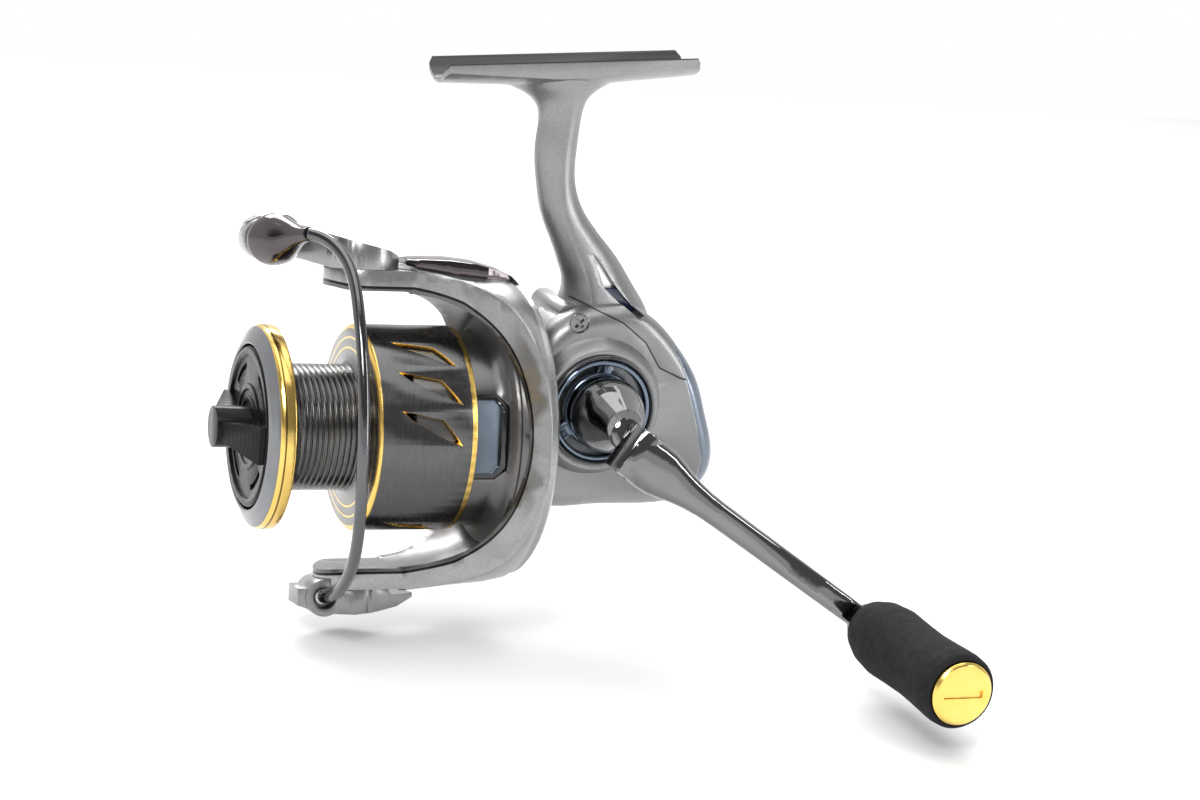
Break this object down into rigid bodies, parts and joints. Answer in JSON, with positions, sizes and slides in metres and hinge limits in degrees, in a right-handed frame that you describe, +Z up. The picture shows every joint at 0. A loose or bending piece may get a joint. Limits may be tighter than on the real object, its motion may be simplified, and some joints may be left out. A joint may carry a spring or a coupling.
{
  "type": "spinning reel",
  "caption": "Spinning fishing reel: a side crank drives a rotor with a wire bail round a sliding spool with a front drag, under a curved foot that clamps to a rod.",
  "frame": {"origin": "on the centreline of the rod held in the foot's curved seat, over the middle of the foot's length", "axes": "+Z up from the reel towards the rod; +X towards the crank end, -X towards the spool; the crank handle is on the -Y side"},
  "size_m": [0.142, 0.1239, 0.124],
  "materials": {
    "body_paint": "satin metallic silver-grey",
    "rear_paint": "gloss blue-grey",
    "gloss_black": "gloss black",
    "crank_black": "gloss black plated",
    "cap_chrome": "blue-grey plated",
    "insert_blue": "gloss dark blue",
    "steel": "bright turned steel",
    "bright_chrome": "polished",
    "brass": "machined",
    "zinc": "die-cast grey",
    "nylon": "black moulded",
    "shim": "white wear shim",
    "felt": "oiled felt",
    "spool_metal": "anodised dark gunmetal, machined grooves",
    "gold": "gold anodised",
    "drag_black": "satin black",
    "rotor_paint": "metallic silver band and dark gunmetal bowl",
    "window_frame": "gloss black",
    "black_chrome": "dark violet-black plated",
    "lever_silver": "satin silver",
    "roller_grey": "polished hard plated",
    "foam": "matte closed-cell foam"
  },
  "bodies": {
    "body": {"body_frame": "body_paint", "side_cover": "body_paint", "boss_ring": "gloss_black", "bearing_cap": "cap_chrome", "leg_insert": "insert_blue", "case_screws": "steel", "rear_cover": "rear_paint", "rear_cover_screw": "steel", "handle_bearing": "steel", "far_bearing": "steel", "far_cap": "gloss_black", "pinion_bearing": "steel", "pinion_bush": "nylon", "one_way_clutch": "nylon", "guide_rods": "steel"},
    "stopper": {"stopper_lever": "nylon"},
    "crank": {"drive_gear": "zinc", "crank_hub": "crank_black", "hinge_pin": "steel"},
    "handle_arm": {"crank_arm": "crank_black", "knob_post": "steel", "knob_collar": "gloss_black"},
    "knob": {"knob_sleeve": "nylon", "knob_grip": "foam", "knob_cap": "gold", "knob_bearings": "steel"},
    "oscillator": {"oscillation_gear": "zinc"},
    "rotor": {"rotor": "rotor_paint", "pinion": "brass", "rotor_inserts": "window_frame", "rotor_nut": "steel", "bail_spring": "steel", "bail_spring_guide": "steel", "arm_cover": "black_chrome", "pivot_screws": "bright_chrome"},
    "bail": {"bail_arm": "lever_silver", "roller_bush": "nylon", "roller_screw": "steel", "bail_cone": "black_chrome", "bail_holder": "body_paint", "bail_wire_screw": "steel", "bail_wire": "bright_chrome"},
    "roller": {"line_roller": "roller_grey"},
    "spindle": {"main_shaft": "steel", "slider": "zinc", "spool_seat": "nylon", "spool_shims": "shim", "drag_plates": "steel"},
    "spool": {"spool": "spool_metal", "spool_lip_ring": "gold", "spool_bush": "nylon", "click_gear": "nylon", "drag_washers": "felt", "drag_clip": "steel"},
    "drag_knob": {"drag_knob": "drag_black", "drag_nut": "brass", "drag_spring": "steel"}
  },
  "joints": [
    {"name": "stopper_flip", "type": "hinge", "parent": "body", "child": "stopper", "pos_m": [0.004, 0, -0.10121], "axis": [0, 0, 1], "range_deg": [-12, 12]},
    {"name": "crank_turn", "type": "hinge", "parent": "body", "child": "crank", "pos_m": [0.01, -0.016, -0.07721], "axis": [0, 1, 0], "continuous": true},
    {"name": "arm_fold", "type": "hinge", "parent": "crank", "child": "handle_arm", "pos_m": [0.0113, -0.034, -0.08181], "axis": [0.5461, 0, 0.8377], "range_deg": [0, 25]},
    {"name": "knob_spin", "type": "hinge", "parent": "handle_arm", "child": "knob", "pos_m": [0.0633, -0.07, -0.11581], "axis": [0, 1, 0], "continuous": true},
    {"name": "oscillation_turn", "type": "hinge", "parent": "body", "child": "oscillator", "pos_m": [0.0235, 0.008, -0.08291], "axis": [0, 1, 0], "continuous": true},
    {"name": "rotor_spin", "type": "hinge", "parent": "body", "child": "rotor", "pos_m": [-0.016, 0, -0.08551], "axis": [1, 0, 0], "continuous": true},
    {"name": "bail_open", "type": "hinge", "parent": "rotor", "child": "bail", "pos_m": [-0.0395, 0, -0.08551], "axis": [0, -0.1564, -0.9877], "range_deg": [0, 72]},
    {"name": "line_roller_spin", "type": "hinge", "parent": "bail", "child": "roller", "pos_m": [-0.0601, 0.00598, -0.04646], "axis": [0, 0.9877, -0.1564], "continuous": true},
    {"name": "spool_travel", "type": "slide", "parent": "body", "child": "spindle", "axis": [1, 0, 0], "range_m": [-0.009, 0.005]},
    {"name": "drag_slip", "type": "hinge", "parent": "spindle", "child": "spool", "pos_m": [-0.05, 0, -0.08551], "axis": [1, 0, 0], "continuous": true},
    {"name": "drag_knob_turn", "type": "hinge", "parent": "spindle", "child": "drag_knob", "pos_m": [-0.064, 0, -0.08551], "axis": [1, 0, 0], "range_deg": [-360, 360]}
  ],
  "couplings": [
    {"joint": "rotor_spin", "follows": "crank_turn", "ratio": -5},
    {"joint": "oscillation_turn", "follows": "crank_turn", "ratio": -0.39394}
  ]
}
